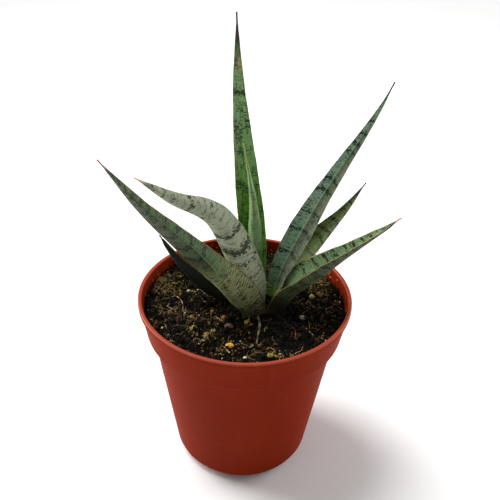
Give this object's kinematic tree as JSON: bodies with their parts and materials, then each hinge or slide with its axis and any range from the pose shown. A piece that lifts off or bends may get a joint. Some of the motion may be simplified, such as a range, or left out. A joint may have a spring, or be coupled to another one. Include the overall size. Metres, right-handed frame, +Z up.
{
  "type": "potted snake plant",
  "caption": "Small potted snake plant: a rosette of thick, channelled, cross-banded leaves in dark soil, in a round tapered plastic nursery pot that stands on its flat base.",
  "frame": {"origin": "middle of the pot's flat base, on the surface it stands on", "axes": "+Z up along the pot's axis, -Y towards the front of the plant"},
  "size_m": [0.1294, 0.108, 0.2343],
  "materials": {
    "pot": "matt brick-red plastic",
    "soil": "damp dark peat",
    "leaf_green": "waxy leaf, deep green with darker cross bands",
    "leaf_silver": "waxy leaf back, silver grey",
    "leaf_blue_green": "waxy leaf, blue green with dark bands",
    "leaf_dark": "waxy leaf in dark green",
    "dry_stem": "dry brown stem",
    "pale_fibre": "dry straw-coloured fibre",
    "bark": "rough bark",
    "orange_grain": "coated fertiliser grain",
    "green_pellet": "rough pellet",
    "pale_pellet": "rough pale pellet",
    "pale_chip": "pale mineral flake",
    "white_grain": "white perlite",
    "moss": "dry moss"
  },
  "bodies": {
    "root": {"pot": "pot", "potting_soil": "soil", "leaf_tall_centre": "leaf_green", "leaf_young_spear": "leaf_silver", "leaf_silver_left": "leaf_silver", "leaf_front_left": "leaf_blue_green", "leaf_tall_right": "leaf_blue_green", "leaf_back_right": "leaf_green", "leaf_low_right": "leaf_blue_green", "leaf_back_left": "leaf_dark", "dry_stalk": "dry_stem", "fibre_left": "pale_fibre", "fibre_right": "pale_fibre", "bark_chip": "bark", "orange_grain": "orange_grain", "pellet_front": "green_pellet", "pellet_lip": "green_pellet", "pellet_right": "pale_pellet", "pellet_left": "pale_pellet", "pale_chip": "pale_chip", "white_grain": "white_grain", "moss_left": "moss", "moss_right": "moss"}
  },
  "joints": []
}
